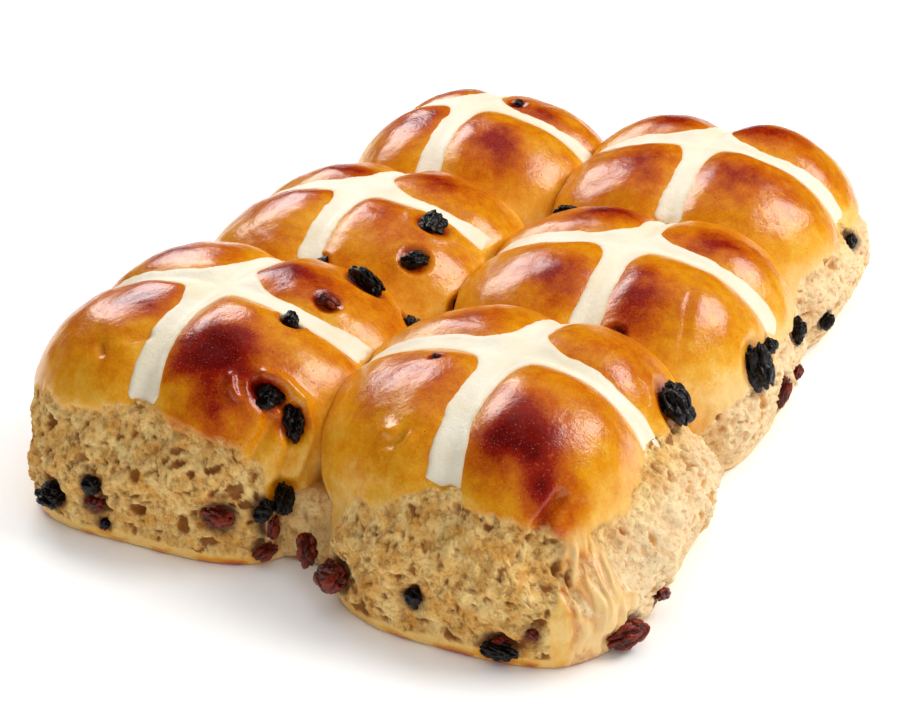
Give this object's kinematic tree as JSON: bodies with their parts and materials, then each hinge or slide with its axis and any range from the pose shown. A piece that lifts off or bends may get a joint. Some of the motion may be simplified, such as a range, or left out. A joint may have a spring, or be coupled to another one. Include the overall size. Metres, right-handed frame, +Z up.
{
  "type": "hot cross buns baked in one batch",
  "caption": "Batch of spiced fruit buns baked touching, with glazed domed crowns, pale flour-paste crosses, torn crumb sides, set-in dried fruit and a flat base.",
  "frame": {"origin": "middle of the underside of the whole batch", "axes": "+Z up; +Y along the long side, from the front pair of buns to the back pair; +X across, to the right seen from the front"},
  "size_m": [0.1654, 0.2344, 0.0475],
  "materials": {
    "bread": "glazed golden-brown crust, matte beige crumb",
    "cross": "matte baked flour paste",
    "dark_fruit": "wrinkled, half gloss",
    "red_fruit": "wrinkled, half gloss"
  },
  "bodies": {
    "root": {"bread": "bread", "cross_front_left": "cross", "cross_front_right": "cross", "cross_middle_left": "cross", "cross_middle_right": "cross", "cross_back_left": "cross", "cross_back_right": "cross", "currant_left_side": "dark_fruit", "raisin_pair_upper": "dark_fruit", "raisin_pair_lower": "dark_fruit", "currant_seam_low": "dark_fruit", "raisin_right_shoulder": "dark_fruit", "raisin_front_base": "dark_fruit", "raisin_middle_left": "dark_fruit", "raisin_middle_front": "dark_fruit", "raisin_left_crease": "dark_fruit", "raisin_pit": "dark_fruit", "currant_middle_seam": "dark_fruit", "raisin_right_flank": "dark_fruit", "raisin_back_rim": "dark_fruit", "raisin_back_crown": "dark_fruit", "raisin_left_crumb": "red_fruit", "raisin_front_seam": "red_fruit", "sultana_front_corner": "red_fruit", "peel_right_corner": "red_fruit", "raisin_right_low": "red_fruit"}
  },
  "joints": []
}
